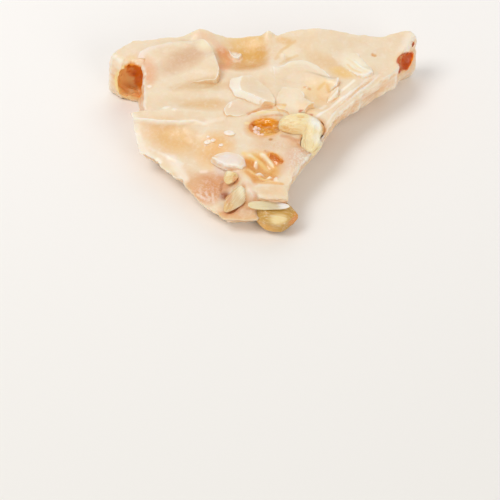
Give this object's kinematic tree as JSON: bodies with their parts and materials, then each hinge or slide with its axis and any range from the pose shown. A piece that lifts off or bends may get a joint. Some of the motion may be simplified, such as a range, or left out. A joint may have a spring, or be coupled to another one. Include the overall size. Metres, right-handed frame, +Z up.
{
  "type": "nut brittle piece",
  "caption": "Broken wedge of cream candy brittle with a folded, flaked top, undercut fracture sides, peanuts bedded in it and empty nut hollows.",
  "frame": {"origin": "a point on the flat underside, below the middle of the slab", "axes": "+X to the right along the longest side, +Y from the broken front tip to the back, +Z up from the flat underside"},
  "size_m": [0.0636, 0.05, 0.0125],
  "materials": {
    "candy": "waxy, translucent pulled sugar, glossy in the hollows",
    "nut": "satin, pale blanched peanut",
    "nut_skin": "satin, red-brown peanut skin"
  },
  "bodies": {
    "root": {"candy": "candy", "nut_split": "nut", "nut_front": "nut", "nut_sliver": "nut", "nut_half": "nut", "nut_crumb": "nut", "nut_back_skinned": "nut_skin", "nut_back_left": "nut", "nut_back_right": "nut", "nut_under_left": "nut", "nut_under_right": "nut"}
  },
  "joints": []
}
